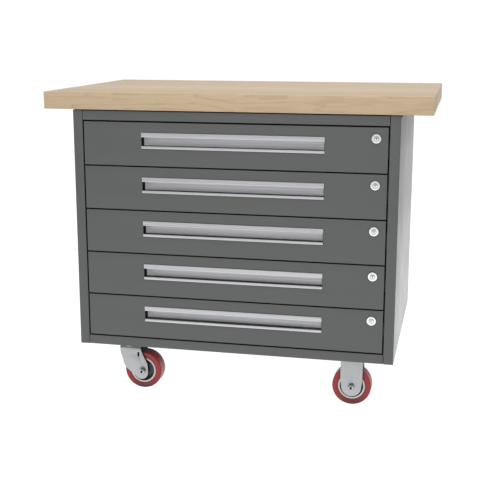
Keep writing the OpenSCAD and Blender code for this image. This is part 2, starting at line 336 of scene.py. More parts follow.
class Wiring:
    """Adds nodes to a tree; a socket given as a value is linked."""

    def __init__(self, tree):
        self.tree = tree

    def add(self, kind, inputs=None, **settings):
        node = self.tree.nodes.new("ShaderNode" + kind)
        for key, value in settings.items():
            setattr(node, key, value)
        for key, value in (inputs or {}).items():
            if isinstance(value, bpy.types.NodeSocket):
                self.tree.links.new(value, node.inputs[key])
            else:
                node.inputs[key].default_value = value
        return node

    def noise(self, place, scale, detail=3.0, roughness=0.55):
        return self.add("TexNoise", {"Vector": place, "Scale": scale, "Detail": detail,
                                     "Roughness": roughness}).outputs["Fac"]

    def stretch(self, place, scale):
        return self.add("Mapping", {"Vector": place, "Scale": scale}).outputs[0]

    def math(self, operation, a, b=0.0):
        return self.add("Math", {0: a, 1: b}, operation=operation).outputs[0]

    def span(self, value, low, high, out_low=0.0, out_high=1.0):
        return self.add("MapRange", {"Value": value, "From Min": low, "From Max": high,
                                     "To Min": out_low, "To Max": out_high}).outputs[0]

    def swap(self, share, a, b):
        """A number between a and b."""
        return self.add("Mix", {0: share, 2: a, 3: b}, data_type="FLOAT").outputs[0]

    def grey(self, value):
        return self.add("CombineColor", {0: value, 1: value, 2: value}).outputs[0]

    def blend(self, share, a, b, kind="MIX"):
        return self.add("Mix", {0: share, 6: a, 7: b}, data_type="RGBA", blend_type=kind).outputs[2]


def effect(name, inputs, outputs):
    """An empty node group with named sockets, and its wiring, inputs and outputs."""
    group = bpy.data.node_groups.new(name, "ShaderNodeTree")
    for label, kind, value in inputs:
        socket = group.interface.new_socket(label, in_out="INPUT", socket_type="NodeSocket" + kind)
        if value is not None:
            socket.default_value = value
    for label, kind in outputs:
        group.interface.new_socket(label, in_out="OUTPUT", socket_type="NodeSocket" + kind)
    given = group.nodes.new("NodeGroupInput").outputs
    result = group.nodes.new("NodeGroupOutput")
    return group, Wiring(group), given, result


def deliver(wiring, output, **sockets):
    for label, socket in sockets.items():
        wiring.tree.links.new(socket, output.inputs[label.replace("_", " ")])


def make_mottle():
    """Cloudy and speckled variation of a colour and of its roughness."""
    group, w, given, result = effect(
        "mottle",
        [("Color", "Color", (0.5, 0.5, 0.5, 1)), ("Place", "Vector", None), ("Clouds", "Float", 0.06),
         ("Specks", "Float", 0.04), ("Cloud Scale", "Float", 6.0), ("Speck Scale", "Float", 900.0)],
        [("Color", "Color"), ("Unevenness", "Float")])
    clouds = w.noise(given["Place"], given["Cloud Scale"], 4)
    specks = w.noise(given["Place"], given["Speck Scale"], 2)
    cloud_tone = w.math("MULTIPLY", w.math("SUBTRACT", clouds, 0.5), given["Clouds"])
    speck_tone = w.math("MULTIPLY", w.math("SUBTRACT", specks, 0.5), given["Specks"])
    tone = w.math("ADD", w.math("ADD", cloud_tone, speck_tone), 1.0)
    deliver(w, result, Color=w.blend(1.0, given["Color"], w.grey(tone), "MULTIPLY"), Unevenness=clouds)
    return group


def make_wear():
    """Rubbed, paler edges, found where a rounded normal differs from the true one."""
    group, w, given, result = effect(
        "edge_wear",
        [("Color", "Color", (0.5, 0.5, 0.5, 1)), ("Rubbed Color", "Color", (0.8, 0.8, 0.8, 1)),
         ("Amount", "Float", 0.4), ("Place", "Vector", None)],
        [("Color", "Color"), ("Mask", "Float")])
    rounded = w.add("Bevel", {"Radius": 1.0 * MM}, samples=4).outputs[0]
    flat = w.add("NewGeometry").outputs["True Normal"]
    agree = w.add("VectorMath", {0: rounded, 1: flat}, operation="DOT_PRODUCT").outputs["Value"]
    sharp = w.span(agree, 0.985, 0.90)
    patchy = w.span(w.noise(given["Place"], 60, 4), 0.42, 0.62)
    mask = w.math("MULTIPLY", w.math("MULTIPLY", sharp, patchy), given["Amount"])
    deliver(w, result, Color=w.blend(mask, given["Color"], given["Rubbed Color"]), Mask=mask)
    return group


def make_brushing():
    """Parallel lines left by rolling and brushing, as a tone and a height."""
    group, w, given, result = effect(
        "brushing",
        [("Color", "Color", (0.8, 0.8, 0.8, 1)), ("Place", "Vector", None), ("Depth", "Float", 0.12),
         ("Streaks", "Float", 0.2)],
        [("Color", "Color"), ("Height", "Float")])
    fine = w.noise(given["Place"], 1.0, 3, 0.7)
    broad = w.noise(w.stretch(given["Place"], (0.12, 0.11, 0.11)), 1.0, 2)
    fine_tone = w.math("MULTIPLY", w.math("SUBTRACT", fine, 0.5), given["Depth"])
    broad_tone = w.math("MULTIPLY", w.math("SUBTRACT", broad, 0.5), given["Streaks"])
    tone = w.math("ADD", w.math("ADD", fine_tone, broad_tone), 1.0)
    deliver(w, result, Color=w.blend(1.0, given["Color"], w.grey(tone), "MULTIPLY"), Height=fine)
    return group


def make_painted_crevice_shade():
    """Painted shade: darkens a colour where surfaces close in on each other, as in gaps and seams."""
    group, w, given, result = effect(
        "crevice_shade",
        [("Color", "Color", (0.5, 0.5, 0.5, 1)), ("Reach", "Float", 0.012), ("Darkest", "Float", 0.1)],
        [("Color", "Color"), ("Openness", "Float")])
    # painted shade: the less open a point is, the darker its colour is made
    openness = w.add("AmbientOcclusion", {"Distance": given["Reach"]}, samples=8).outputs["AO"]
    tone = w.swap(w.span(openness, 0.45, 0.92), given["Darkest"], 1.0)
    deliver(w, result, Color=w.blend(1.0, given["Color"], w.grey(tone), "MULTIPLY"), Openness=openness)
    return group


MOTTLE = make_mottle()
CREVICE_PAINTED_SHADE = make_painted_crevice_shade()
WEAR = make_wear()
BRUSHING = make_brushing()


class Finish(Wiring):
    """A material with a Principled shader, ready for its nodes."""

    def __init__(self, name, **constants):
        self.material = bpy.data.materials.new(name)
        self.material.use_nodes = True
        super().__init__(self.material.node_tree)
        self.shader = self.tree.nodes["Principled BSDF"]
        self.place = self.add("TexCoord").outputs["Object"]
        for label, value in constants.items():
            self.shader.inputs[label.replace("_", " ")].default_value = value

    def use(self, group, **inputs):
        node = self.add("Group", node_tree=group)
        for label, value in inputs.items():
            socket = node.inputs[label.replace("_", " ")]
            if isinstance(value, bpy.types.NodeSocket):
                self.tree.links.new(value, socket)
            else:
                socket.default_value = value
        return node.outputs

    def feed(self, label, socket):
        self.tree.links.new(socket, self.shader.inputs[label])

    def bump(self, height, depth, strength=1.0):
        """Feeds a height of 0 to 1, worth that many millimetres, to the shader's normal."""
        node = self.add("Bump", {"Height": height, "Strength": strength, "Distance": depth * MM})
        self.feed("Normal", node.outputs[0])


def powder_coat(name, colour, roughness):
    f = Finish(name, Metallic=0.0, IOR=1.5)
    coat = f.use(MOTTLE, Color=colour, Place=f.place, Clouds=0.07, Specks=0.10, Speck_Scale=700.0)
    # painted shade: the coat is darkened almost to black in gaps and seams
    shaded = f.use(CREVICE_PAINTED_SHADE, Color=coat["Color"], Reach=0.014, Darkest=0.01)
    worn = f.use(WEAR, Color=shaded["Color"], Rubbed_Color=(0.42, 0.42, 0.42, 1), Amount=0.35,
                 Place=f.place)
    f.feed("Base Color", worn["Color"])
    smooth = f.span(coat["Unevenness"], 0.3, 0.7, roughness - 0.04, roughness + 0.05)
    f.feed("Roughness", f.swap(f.span(shaded["Openness"], 0.5, 0.9), 1.0, smooth))
    f.bump(f.noise(f.place, 420, 2), 0.05)
    return f.material


def brushed_metal(name, colour, roughness, lines, depth, streaks, metallic):
    f = Finish(name, Metallic=metallic)
    brushed = f.use(BRUSHING, Color=colour, Place=f.stretch(f.place, lines), Depth=depth, Streaks=streaks)
    worn = f.use(WEAR, Color=brushed["Color"], Rubbed_Color=(0.95, 0.95, 0.95, 1), Amount=0.5,
                 Place=f.place)
    f.feed("Base Color", worn["Color"])
    f.feed("Roughness", f.span(brushed["Height"], 0.3, 0.7, roughness - 0.06, roughness + 0.08))
    f.bump(brushed["Height"], 0.02)
    return f.material


def plated_metal(name, colour, roughness, reach=0.004):
    f = Finish(name, Metallic=1.0)
    plated = f.use(MOTTLE, Color=colour, Place=f.place, Clouds=0.18, Specks=0.12, Cloud_Scale=35.0,
                   Speck_Scale=1200.0)
    # painted shade: the plating is darkened where other surfaces close in
    shaded = f.use(CREVICE_PAINTED_SHADE, Color=plated["Color"], Reach=reach, Darkest=0.05)
    worn = f.use(WEAR, Color=shaded["Color"], Rubbed_Color=(0.93, 0.93, 0.93, 1), Amount=0.4,
                 Place=f.place)
    f.feed("Base Color", worn["Color"])
    f.feed("Roughness", f.span(plated["Unevenness"], 0.3, 0.7, roughness - 0.07, roughness + 0.1))
    f.bump(f.noise(f.place, 900, 2), 0.01)
    return f.material


def moulded(name, colour, roughness, speck_scale, depth, reach=0.004):
    f = Finish(name, Metallic=0.0)
    tone = f.use(MOTTLE, Color=colour, Place=f.place, Clouds=0.12, Specks=0.10, Cloud_Scale=30.0,
                 Speck_Scale=speck_scale)
    # painted shade: the moulding is darkened where other surfaces close in
    shaded = f.use(CREVICE_PAINTED_SHADE, Color=tone["Color"], Reach=reach, Darkest=0.03)
    f.feed("Base Color", shaded["Color"])
    f.feed("Roughness", f.span(tone["Unevenness"], 0.3, 0.7, roughness - 0.05, roughness + 0.07))
    f.bump(f.noise(f.place, speck_scale * 0.7, 2), depth)
    return f.material


def black_plastic():
    """Black to the camera, but a painted grey glow to every other ray, so that it lights the surfaces
    round it as much as its neighbours do.
    """
    f = Finish("black_plastic", Metallic=0.0, Specular_IOR_Level=0.2, Emission_Strength=1.0)
    tone = f.use(MOTTLE, Color=(0.004, 0.004, 0.004, 1), Place=f.place, Clouds=0.12, Specks=0.10,
                 Speck_Scale=1500.0)
    f.feed("Base Color", tone["Color"])
    f.feed("Roughness", f.span(tone["Unevenness"], 0.3, 0.7, 0.65, 0.77))
    # painted glow: grey light sent to reflections and bounces, though it is no lamp
    seen = f.add("LightPath").outputs["Is Camera Ray"]
    f.feed("Emission Color", f.grey(f.swap(seen, 0.40, 0.0)))
    f.bump(f.noise(f.place, 1100, 2), 0.02)
    return f.material


STAVE = 41 * MM
STAVE_COLOURS = ((0.72, 0.56, 0.375, 1), (0.61, 0.445, 0.27, 1))
LATE_WOOD_COLOUR = (0.50, 0.315, 0.185, 1)
PORE_COLOUR = (0.30, 0.19, 0.10, 1)


def maple_block():
    """Edge-glued maple staves that run along X, each cut from a different place in a log."""
    f = Finish("maple_block", Metallic=0.0, IOR=1.5)
    across = f.math("DIVIDE", f.add("SeparateXYZ", {0: f.place}).outputs["Y"], STAVE)
    stave = f.math("FLOOR", across)
    seed = f.add("TexWhiteNoise", {"W": stave}, noise_dimensions="1D").outputs["Value"]
    jump = f.add("CombineXYZ", {"X": f.math("MULTIPLY", seed, 7.3), "Y": f.math("MULTIPLY", seed, 0.83),
                                "Z": f.math("MULTIPLY", seed, 1.9)}).outputs[0]
    log_place = f.add("VectorMath", {0: f.place, 1: jump}, operation="ADD").outputs[0]
    bends = f.add("TexNoise", {"Vector": f.stretch(log_place, (1.6, 9, 9)), "Scale": 1.0, "Detail": 2})
    sway = f.add("VectorMath", {0: bends.outputs["Color"], 1: (0.012, 0.012, 0.012)}, operation="MULTIPLY")
    wavy = f.add("VectorMath", {0: log_place, 1: sway.outputs[0]}, operation="ADD").outputs[0]
    rings = f.noise(f.stretch(wavy, (1.9, 34, 15)), 1.0, 3, 0.5)
    bands = f.math("FRACT", f.math("MULTIPLY", rings, 9.0))
    late_wood = f.span(bands, 0.55, 0.98)
    fibres = f.noise(f.stretch(log_place, (12, 950, 950)), 1.0, 2, 0.6)
    pores = f.span(f.noise(f.stretch(log_place, (30, 1500, 1500)), 1.0, 1), 0.66, 0.74)
    pale = f.blend(seed, *STAVE_COLOURS)
    ringed = f.blend(f.math("MULTIPLY", late_wood, 0.36), pale, LATE_WOOD_COLOUR)
    tone = f.span(fibres, 0.25, 0.75, 0.93, 1.06)
    fibred = f.blend(1.0, ringed, f.grey(tone), "MULTIPLY")
    speckled = f.blend(f.math("MULTIPLY", pores, 0.22), fibred, PORE_COLOUR)
    off_middle = f.math("ABSOLUTE", f.math("SUBTRACT", f.math("FRACT", across), 0.5))
    joint = f.span(off_middle, 0.488, 0.497)
    f.feed("Base Color", f.blend(f.math("MULTIPLY", joint, 0.28), speckled, PORE_COLOUR))
    f.feed("Roughness", f.span(fibres, 0.3, 0.7, 0.40, 0.52))
    f.bump(f.math("SUBTRACT", fibres, f.math("MULTIPLY", pores, 0.6)), 0.05)
    return f.material


def studio_floor():
    """White to the camera, dim in the light it sends up, and paler near the bench in reflections."""
    f = Finish("studio_floor", Metallic=0.0, Roughness=0.9, Emission_Strength=1.0, Specular_IOR_Level=0.0)
    rays = f.add("LightPath").outputs
    distance = f.add("VectorMath", {0: f.place}, operation="LENGTH").outputs["Value"]
    depth = f.add("SeparateXYZ", {0: f.place}).outputs["Y"]
    near = f.span(distance, 1.0, 4.5, 1.75, 1.22)
    behind = f.span(depth, -1.0, 0.5, 0.66, 0.88)
    glow = f.swap(rays["Is Glossy Ray"], 0.20, f.math("MULTIPLY", near, behind))
    f.feed("Emission Color", f.grey(f.swap(rays["Is Camera Ray"], glow, 1.0)))
    tone = f.use(MOTTLE, Color=(0.24, 0.24, 0.24, 1), Place=f.place, Clouds=0.01, Specks=0.01)
    f.feed("Base Color", tone["Color"])
    return f.material


PAINT_COLOUR = (0.122, 0.1275, 0.1245, 1)
PAINT = powder_coat("cabinet_powder_coat", PAINT_COLOUR, 0.34)
DRAWER_PAINT = powder_coat("drawer_powder_coat", PAINT_COLOUR, 0.38)
PULL_METAL = brushed_metal("brushed_pull_aluminium", (0.595, 0.595, 0.62, 1), 0.46,
                           lines=(9, 2200, 2200), depth=0.24, streaks=0.6, metallic=0.75)
LOCK_METAL = plated_metal("satin_lock_chrome", (0.86, 0.88, 0.86, 1), 0.26)
PLUG_METAL = plated_metal("lock_plug_steel", (0.70, 0.72, 0.70, 1), 0.32)
FORK_METAL = plated_metal("caster_zinc", (0.37, 0.38, 0.39, 1), 0.36)
# the bolt's longer reach paints dark shade round its nut, washer and head
BOLT_METAL = plated_metal("bolt_zinc", (0.64, 0.65, 0.66, 1), 0.13, reach=0.010)
SLIDE_METAL = plated_metal("slide_zinc", (0.50, 0.515, 0.53, 1), 0.30)
CORE_METAL = plated_metal("wheel_rim_metal", (0.47, 0.445, 0.445, 1), 0.42)
BLACK_PLASTIC_WITH_PAINTED_GLOW = black_plastic()
# dark paint on the wheel's web and hub, which also paints the shade in the wheel's recess
WEB_PAINT_AND_SHADE = moulded("dark_wheel_web_and_painted_shade", (0.030, 0.042, 0.044, 1), 0.38, speck_scale=500.0, depth=0.05)
# the tread's long reach paints shade on it beside the fork and under the cabinet
TREAD = moulded("red_polyurethane", (0.40, 0.045, 0.048, 1), 0.42, speck_scale=600.0, depth=0.04,
                reach=0.045)
MAPLE = maple_block()


# ---------- cabinet ----------

SHEET = 2.0
PAN_SHEET = 3.0
FLANGE_RETURN = 17 * MM   # the side panels' fold behind their front flange
REAR_RETURN = 20 * MM
RAIL_LIP = 15 * MM
RAIL_SHELF = 40 * MM
PAN_UPSTAND = 25 * MM
RAIL_SEAM = 1 * MM        # open line between a front rail and a side panel
TOP_SEAM = 1.6 * MM       # and between the cabinet and the worktop

top_low, top_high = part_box("worktop")
side_low, side_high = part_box("right_side")
base_low, base_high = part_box("base_pan")
rails_low, rails_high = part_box("top_rails")
opening_x = side_low.x
front_y = side_low.y
back_y = side_high.y


def make_worktop():
    top = block("worktop_slab", top_low, top_high, 1.4)
    fit(top, "cabinet", MAPLE, "worktop")


def make_sides():
    height = Z * (side_high.z - side_low.z - TOP_SEAM)
    z = side_low.z
    path = [(opening_x, front_y + FLANGE_RETURN, z), (opening_x, front_y, z), (side_high.x, front_y, z),
            (side_high.x, back_y, z), (side_high.x - REAR_RETURN, back_y, z)]
    right = folded("right_side_panel", path, height, -X, SHEET)
    left = mirror_of(right, "left_side_panel", 0)
    fit(right, "cabinet", PAINT, "right_side")
    fit(left, "cabinet", PAINT, "left_side")


def make_front_rails():
    """The rails above and below the drawers, each with its floor or ceiling flange."""
    low_x = -opening_x + RAIL_SEAM
    run = X * (-2 * low_x)
    lip_y = front_y + RAIL_LIP
    roof = rails_high.z - TOP_SEAM
    top_path = [(low_x, lip_y, rails_low.z), (low_x, front_y, rails_low.z), (low_x, front_y, roof),
                (low_x, front_y + RAIL_SHELF, roof)]
    top_rail = folded("top_rail", top_path, run, -Z, SHEET, radius=3)
    rear_top = rails_high.y
    rear_run = X * (rails_high.x - rails_low.x)
    rear_path = [(rails_low.x, rear_top - RAIL_SHELF, rails_high.z), (rails_low.x, rear_top, rails_high.z),
                 (rails_low.x, rear_top, rails_low.z)]
    rear_rail = folded("rear_rail", rear_path, rear_run, Z, SHEET)
    fit(weld("top_rail_pair", top_rail, rear_rail), "cabinet", PAINT, "top_rails")

    notch_y = front_y + FLANGE_RETURN + 0.4 * MM
    bottom_path = [(low_x, lip_y, base_high.z), (low_x, front_y, base_high.z),
                   (low_x, front_y, base_low.z), (low_x, notch_y + 1 * MM, base_low.z)]
    bottom_rail = folded("bottom_rail", bottom_path, run, Z, SHEET)
    floor_path = [(base_low.x, notch_y, base_low.z), (base_low.x, base_high.y, base_low.z),
                  (base_low.x, base_high.y, base_low.z + PAN_UPSTAND)]
    floor_pan = folded("floor_pan", floor_path, X * (base_high.x - base_low.x), -Z, PAN_SHEET, radius=3.5)
    fit(weld("base_tray", bottom_rail, floor_pan), "cabinet", PAINT, "base_pan")


def make_back():
    low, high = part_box("back_panel")
    fit(block("back_sheet", low, high, 0.4, 2), "cabinet", PAINT, "back_panel")


# ---------- drawers ----------

THIN = 1.5
PAN_LIP = 15 * MM         # turned in round the back of a drawer front
TRAY_LIP = 8 * MM         # turned in round the top of a drawer box
PULL_RISE = 2 * MM        # how far a pull stands out from its drawer front
CAP = 1 * MM
CHANNEL_DEPTH = 28 * MM


def drop_of(i):
    """How far drawer i sits below the top drawer."""
    return Z * (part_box(f"drawer_front_{i}")[0].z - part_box("drawer_front_1")[0].z)


def make_drawer_front():
    """A folded pan: face, four sides and a lip round the back, with the pull's slot."""
    low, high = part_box("drawer_front_1")
    slot_low, slot_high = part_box("pull_1")
    bpy.ops.mesh.primitive_cube_add(size=1, location=(low + high) / 2)
    bpy.context.object.scale = high - low
    pan = new_piece("drawer_front_pan")
    open_mesh(pan)
    pick(pan, lambda f: f.normal.y > 0.9)
    bpy.ops.mesh.inset(thickness=PAN_LIP)
    bpy.ops.mesh.delete(type="FACE")
    for plane, normal in [((slot_low.x, 0, 0), X), ((slot_high.x, 0, 0), X),
                          ((0, 0, slot_low.z + 1 * MM), Z), ((0, 0, slot_high.z - 1 * MM), Z)]:
        pick(pan, lambda f: f.normal.y < -0.9)
        bpy.ops.mesh.bisect(plane_co=plane, plane_no=normal)
    pick(pan, lambda f: f.normal.y < -0.9 and slot_low.x < middle(f).x < slot_high.x
         and slot_low.z < middle(f).z < slot_high.z)
    bpy.ops.mesh.delete(type="FACE")
    pick(pan, lambda e: len(e.link_faces) == 2 and e.calc_face_angle() > 1, "EDGE")
    bpy.ops.mesh.bevel(offset=1.2 * MM, segments=4, affect="EDGES")
    close_mesh()
    modify(pan, "SOLIDIFY", thickness=THIN * MM, offset=-1, use_even_offset=True)
    soften(pan, 0.2)
    return pan


def make_drawer_box():
    """An open folded tray with a rim turned inwards."""
    low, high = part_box("drawer_box_1")
    bpy.ops.mesh.primitive_cube_add(size=1, location=(low + high) / 2)
    bpy.context.object.scale = high - low
    tray = new_piece("drawer_tray")
    open_mesh(tray)
    pick(tray, lambda f: f.normal.z > 0.9)
    bpy.ops.mesh.inset(thickness=TRAY_LIP)
    bpy.ops.mesh.delete(type="FACE")
    pick(tray, lambda e: len(e.link_faces) == 2, "EDGE")
    bpy.ops.mesh.bevel(offset=2.0 * MM, segments=3, affect="EDGES")
    close_mesh()
    modify(tray, "SOLIDIFY", thickness=THIN * MM, offset=-1, use_even_offset=True)
    soften(tray, 0.2)
    return tray


def make_pull():
    """A recessed pull: a grooved grip and a lip that run the full width, a channel behind them, a
    black cap at each end, and a strip of drawer paint that paints the shade in the trough. Each outline
    is in millimetres back from the drawer face and up from the pull's top edge."""
    low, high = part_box("pull_1")
    face = low.y + PULL_RISE

    def run_of(name, outline, inset=0, edge=0.35):
        points = [(low.x + inset, face + y * MM, high.z + z * MM) for y, z in outline]
        piece = prism(name, points, X * (high.x - low.x - 2 * inset))
        soften(piece, edge, 2)
        return piece

    grip = run_of("pull_grip", [(-2, 0), (-2, -8.2), (-1.6, -8.5), (-1.6, -9.0), (-2, -9.3), (-2, -14),
                                (1, -14), (1, -12.6), (0, -12), (0, 0)])
    lip = run_of("pull_lip", [(-2, -42), (-2, -50), (0, -50), (0, -42)])
    walls = run_of("pull_walls", [(0, -1), (0, -3), (26, -3), (26, -40.6), (25.3, -41), (25.3, -42.4),
                                  (26, -42.8), (26, -47), (0, -47), (0, -49), (28, -49), (28, -1)], CAP)
    channel = weld("pull_channel", grip, lip, walls)

    cap_low = Vector((low.x, face, low.z + 1 * MM))
    cap_high = Vector((low.x + CAP, face + CHANNEL_DEPTH, high.z - 1 * MM))
    left_cap = block("pull_cap", cap_low, cap_high, 0.2, 2)
    right_cap = copy_of(left_cap, "pull_cap_right", X * (high.x - low.x - CAP))
    caps = weld("pull_caps", left_cap, right_cap)
    # painted shade: a strip of drawer paint along the bottom of the channel, where it lies in shade
    strip = run_of("trough_painted_shade", [(0.4, -46.6), (0.4, -43), (1.0, -42.6), (1.4, -46), (12, -46),
                                    (12.6, -45.4), (13.2, -46), (25, -46), (25, -43.4), (25.7, -43.2),
                                    (25.7, -46.6)], CAP, 0.2)
    return channel, caps, strip


def make_lock():
    """The barrel with its bezel and nut, a thin black washer under the bezel that paints a shadow line
    round the lock, and the plug with its keyway and cam. Each section is turned about the lock's middle,
    from the drawer face backwards."""
    plug_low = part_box("lock_plug_1")[0]
    barrel_low, barrel_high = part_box("lock_barrel_1")
    centre = (barrel_low + barrel_high) / 2
    centre.y = front_y
    bore = 7.56
    section = [(bore, -2.6), (8.3, -3.0), (9.6, -3.0), (9.9, -2.8), (10.2, -3.0), (13.2, -3.0),
               (14.1, -2.6), (14.5, -1.9), (14.5, -0.8), (9.5, -0.8), (9.5, 22), (bore, 22)]
    barrel = turned("lock_bezel", section, centre, Y, 72)
    soften(barrel, 0.15, 2, 25)
    nut = turned("lock_nut", [(9.5, 1.5), (13.5, 1.5), (14.9, 2.3), (14.9, 5.7), (13.5, 6.5), (9.5, 6.5)],
                 centre, Y, 6)
    soften(nut, 0.3, 2)
    shell = weld("lock_shell", barrel, nut)
    # painted shadow: a thin black washer that shows as a dark line round the bezel
    washer = turned("lock_washer_shadow_line", [(9.6, -0.8), (15.2, -0.8), (15.5, -0.5), (15.5, 0), (9.6, 0)],
                    centre, Y, 48)

    plug = turned("lock_core", [(0, -3.4), (6.6, -3.4), (7.5, -2.8), (7.5, 24.5), (0, 24.5)],
                  centre, Y, 48)
    keyway = block("keyway", centre + Vector((-0.7, -6, -3.8)) * MM, centre + Vector((0.7, 8, 3.8)) * MM,
                   0.3, 2)
    cut_with(plug, keyway)
    soften(plug, 0.15, 2, 50)
    reach = (centre.z - plug_low.z) / MM
    blade = [(-6, 0), (-6, -reach + 5), (-3.5, -reach), (3.5, -reach), (6, -reach + 5), (6, 0), (4, 5.5),
             (-4, 5.5)]
    cam = prism("lock_cam", [spot(centre, x, 22.5, z) for x, z in blade], Y * 2 * MM)
    soften(cam, 0.4, 2)
    core = weld("lock_core_and_cam", plug, cam)
    return shell, washer, core


def make_drawers():
    """Builds the top drawer and copies it down the cabinet."""
    pan, tray = make_drawer_front(), make_drawer_box()
    channel, caps, strip = make_pull()
    shell, washer, core = make_lock()
    rows = [
        (pan, "front_pan", "drawer", PAINT, "cabinet_paint", "drawer_front"),
        (tray, "tray", "drawer", DRAWER_PAINT, "drawer_paint", "drawer_box"),
        (channel, "pull_channel", "drawer", PULL_METAL, "pull_aluminium", "pull"),
        (caps, "pull_caps", "drawer", BLACK_PLASTIC_WITH_PAINTED_GLOW, "black_plastic", "pull"),
        (strip, "pull_strip", "drawer", DRAWER_PAINT, "drawer_paint", "pull"),
        (shell, "lock_shell", "drawer", LOCK_METAL, "lock_chrome", "lock_barrel"),
        # the black washer paints the shadow line round the lock
        (washer, "lock_washer_shadow_line", "drawer", BLACK_PLASTIC_WITH_PAINTED_GLOW, "black_plastic", "lock_barrel"),
        (core, "lock_core", "lock", PLUG_METAL, "lock_plug_steel", "lock_plug"),
    ]
    for i in ROWS:
        for master, name, body, material, slot, node in rows:
            fit(copy_of(master, f"{name}_{i}", drop_of(i)), f"{body}_{i}", material, f"{node}_{i}")
    clear_away((pan, tray, channel, caps, strip, shell, washer, core))


def make_slides():
    """Rolled channels that run in each other: a fixed rail, a middle slide and the drawer's runner."""
    outer_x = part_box("slide_rails")[1].x
    low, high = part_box("drawer_runners_1")
    middle_z = (low.z + high.z) / 2

    def channel(name, web, tip, half_height, wall):
        path = [(outer_x - inward * MM, low.y, middle_z + up * MM) for inward, up in
                [(tip, half_height), (web, half_height), (web, -half_height), (tip, -half_height)]]
        return folded(name, path, Y * (high.y - low.y), Z, wall, radius=2.2)

    def both(piece):
        return weld(f"{piece.name}_pair", piece, mirror_of(piece, "left_twin", 0))

    rail = both(channel("slide_rail", 0, 10, 23, 1.4))
    middle_slide = both(channel("middle_slide", 2.6, 11.2, 20.6, 1.2))
    head = [(0, 0), (4.4, 0), (4.4, 0.5), (3.2, 1.1), (1.5, 1.1), (1.3, 0.5), (0, 0.5)]
    screws = [turned("runner_screw", head, (outer_x - 11.3 * MM, low.y + along * MM, middle_z), X, 24)
              for along in (50, 240, 430, 620)]
    runner = both(weld("drawer_runner", channel("runner", 12.7, 5, 18.2, 1.4), *screws))
    for i in ROWS:
        rows = [
            (rail, "rail_pair", "cabinet", "slide_rails"),
            (middle_slide, "middle_pair", f"slide_middle_{i}", f"middle_slides_{i}"),
            (runner, "runner_pair", f"drawer_{i}", f"drawer_runners_{i}"),
        ]
        for master, name, body, node in rows:
            fit(copy_of(master, f"{name}_{i}", drop_of(i)), body, SLIDE_METAL, node)
    clear_away((rail, middle_slide, runner))


# ---------- casters ----------

# Measured in millimetres from the point on the floor under a wheel's middle; the wheel turns about Y.
WHEEL_R = 62.5
FORK_IN = 29
FORK_OUT = 32
PLATE_TOP = base_low.z / MM
PLATE_FOOT = PLATE_TOP - 4
BRIDGE_TOP = PLATE_TOP - 17   # where a swivel fork meets its race
TRAIL = 47                # from a swivel caster's axle back to its pivot


def arc(centre, radius, start, end, steps):
    """Points along part of a circle, with the angles in degrees."""
    angles = [math.radians(start + (end - start) * k / steps) for k in range(steps + 1)]
    return [(centre[0] + radius * math.cos(a), centre[1] + radius * math.sin(a)) for a in angles]


def flowing(points, steps=4):
    """A smooth line through the points."""
    ends = [points[0]] + list(points) + [points[-1]]
    line = []
    for a, b, c, d in zip(ends, ends[1:], ends[2:], ends[3:]):
        for k in range(steps):
            t = k / steps
            line.append(tuple(0.5 * (2 * q + (r - p) * t + (2 * p - 5 * q + 4 * r - s) * t * t
                                     + (3 * q - p - 3 * r + s) * t ** 3)
                              for p, q, r, s in zip(a, b, c, d)))
    return line + [points[-1]]


def make_fork(name, home, outline, top, low_x, high_x):
    """A pressed fork: an upside-down U that is trimmed to the side view of its legs."""
    def hoop(half_width, radius, foot):
        return ([(-half_width, foot)] + arc((-half_width + radius, top - 8), radius, 180, 90, 6)
                + arc((half_width - radius, top - 8), radius, 90, 0, 6) + [(half_width, foot)])

    fork = prism(name, [spot(home, low_x, y, z) for y, z in hoop(FORK_OUT, 8, 0)],
                 X * (high_x - low_x) * MM)
    inside = prism("inside", [spot(home, low_x - 5, y, z) for y, z in hoop(FORK_IN, 5, -5)],
                   X * (high_x - low_x + 10) * MM)
    cut_with(fork, inside)
    legs = prism("legs", [spot(home, x, -40, z) for x, z in outline], Y * 80 * MM)
    cut_with(fork, legs, "INTERSECT")
    return fork


def rigid_leg():
    flank = [(-35, PLATE_FOOT), (-35, 92), (-34.4, 80), (-32, WHEEL_R)]
    return flank + arc((0, WHEEL_R), 32, 180, 360, 28)[1:-1] + [(-x, z) for x, z in reversed(flank)]


def swivel_leg():
    front = flowing([(-78, PLATE_FOOT), (-77, 126.5), (-71, 106.5), (-59.5, 73.5), (-22, 39.9)])
    toe = arc((-5, 55.5), 23, 222.5, 360, 18)[1:-1]
    back = flowing([(18, 55.5), (16.5, 84.5), (5, 109.5), (-5, 132.5), (-16, PLATE_FOOT)])
    return front + toe + back


def make_plate(name, home, x):
    """A caster's top plate, with rounded corners."""
    corners = [(-49, -42.5, 180), (49, -42.5, 270), (49, 42.5, 0), (-49, 42.5, 90)]
    outline = [point for a, b, start in corners for point in arc((a, b), 8, start, start + 90, 5)]
    plate = prism(name, [spot(home, x + a, b, PLATE_FOOT) for a, b in outline],
                  Z * (PLATE_TOP - PLATE_FOOT) * MM)
    soften(plate, 0.7, 2)
    return plate


def make_swivel_top(home):
    """The plate, race and kingpin of a swivel caster."""
    pivot = spot(home, -TRAIL, 0, BRIDGE_TOP)
    plate = make_plate("swivel_plate", home, -TRAIL)
    race = turned("race", [(0, 2), (29, 2), (31.6, 2.8), (33, 5), (33, 7), (31.8, 8), (31.8, 9), (33, 10),
                           (33, 13), (0, 13)], pivot, Z, 64)
    soften(race, 0.4, 2, 25)
    pin = turned("kingpin", [(0, -12), (7, -12), (10.2, -10.4), (10.2, -3.6), (0, -3.6)], pivot, Z, 6)
    soften(pin, 0.4, 2)
    return weld("swivel_top", plate, race, pin)


